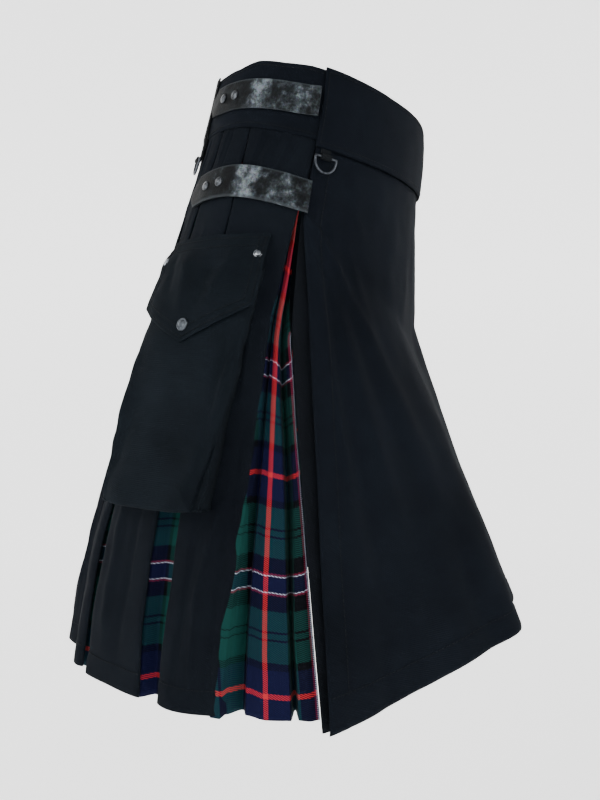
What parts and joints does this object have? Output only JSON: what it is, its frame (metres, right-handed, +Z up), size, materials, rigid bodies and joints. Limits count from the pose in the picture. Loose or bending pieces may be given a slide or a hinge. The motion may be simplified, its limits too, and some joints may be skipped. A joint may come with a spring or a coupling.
{
  "type": "scottish kilt",
  "caption": "Wrap kilt of black cotton with checked cloth let in between its pleats, leather side straps, ring tabs and bag pockets, open and hollow as it is worn.",
  "frame": {"origin": "middle of the ring that the waist's top edge makes, where the wearer's waist holds the kilt up", "axes": "+Z up; the wearer faces -Y, and the wearer's right side is -X"},
  "size_m": [0.5208, 0.4909, 0.6018],
  "materials": {
    "apron_cloth": "black cotton twill, dyed, matt with a soft nap",
    "pleat_cloth": "black cotton twill, dyed, matt",
    "pocket_cloth": "black cotton twill, dyed, matt, top-stitched",
    "checked_cloth": "woven green, navy and black check with red and white lines",
    "strap_leather": "black leather, waxed, semi-gloss and rubbed",
    "dark_metal": "antique dark nickel on steel"
  },
  "bodies": {
    "kilt": {"apron_outer": "apron_cloth", "apron_under": "apron_cloth", "flap_left": "pocket_cloth", "flap_right": "pocket_cloth", "insert_left_ab": "checked_cloth", "insert_left_bc": "checked_cloth", "insert_left_cd": "checked_cloth", "insert_left_de": "checked_cloth", "insert_left_ef": "checked_cloth", "insert_left_wide": "checked_cloth", "insert_right_ab": "checked_cloth", "insert_right_bc": "checked_cloth", "insert_right_cd": "checked_cloth", "insert_right_de": "checked_cloth", "insert_right_ef": "checked_cloth", "insert_right_wide": "checked_cloth", "pleat_back_middle": "pleat_cloth", "pleat_left_a": "pleat_cloth", "pleat_left_b": "pleat_cloth", "pleat_left_c": "pleat_cloth", "pleat_left_d": "pleat_cloth", "pleat_left_e": "pleat_cloth", "pleat_right_a": "pleat_cloth", "pleat_right_b": "pleat_cloth", "pleat_right_c": "pleat_cloth", "pleat_right_d": "pleat_cloth", "pleat_right_e": "pleat_cloth", "pocket_left": "pocket_cloth", "pocket_right": "pocket_cloth", "ring_tab_back_left": "pleat_cloth", "ring_tab_back_right": "pleat_cloth", "ring_tab_front_left": "pleat_cloth", "ring_tab_front_right": "pleat_cloth", "rivet_left_1": "dark_metal", "rivet_left_2": "dark_metal", "rivet_right_1": "dark_metal", "rivet_right_2": "dark_metal", "snap_left": "dark_metal", "snap_right": "dark_metal", "strap_lower_left": "strap_leather", "strap_lower_right": "strap_leather", "strap_upper_left": "strap_leather", "strap_upper_right": "strap_leather", "stud_lower_left_1": "dark_metal", "stud_lower_left_2": "dark_metal", "stud_lower_right_1": "dark_metal", "stud_lower_right_2": "dark_metal", "stud_upper_left_1": "dark_metal", "stud_upper_left_2": "dark_metal", "stud_upper_right_1": "dark_metal", "stud_upper_right_2": "dark_metal", "waistband_back": "apron_cloth", "waistband_front": "apron_cloth"},
    "ring_back_left": {"ring_back_left": "dark_metal"},
    "ring_back_right": {"ring_back_right": "dark_metal"},
    "ring_front_left": {"ring_front_left": "dark_metal"},
    "ring_front_right": {"ring_front_right": "dark_metal"}
  },
  "joints": [
    {"name": "ring_back_left_turn", "type": "hinge", "parent": "kilt", "child": "ring_back_left", "pos_m": [0.11127, 0.10142, -0.07812], "axis": [0.8608, -0.5089, 0], "range_deg": [0, 160]},
    {"name": "ring_back_right_turn", "type": "hinge", "parent": "kilt", "child": "ring_back_right", "pos_m": [-0.11127, 0.10142, -0.07812], "axis": [0.8608, 0.5089, 0], "range_deg": [0, 160]},
    {"name": "ring_front_left_turn", "type": "hinge", "parent": "kilt", "child": "ring_front_left", "pos_m": [0.15957, -0.04366, -0.09381], "axis": [-0.6279, -0.7556, -0.1867], "range_deg": [0, 160]},
    {"name": "ring_front_right_turn", "type": "hinge", "parent": "kilt", "child": "ring_front_right", "pos_m": [-0.15957, -0.04366, -0.09381], "axis": [-0.6279, 0.7556, 0.1867], "range_deg": [0, 160]}
  ]
}
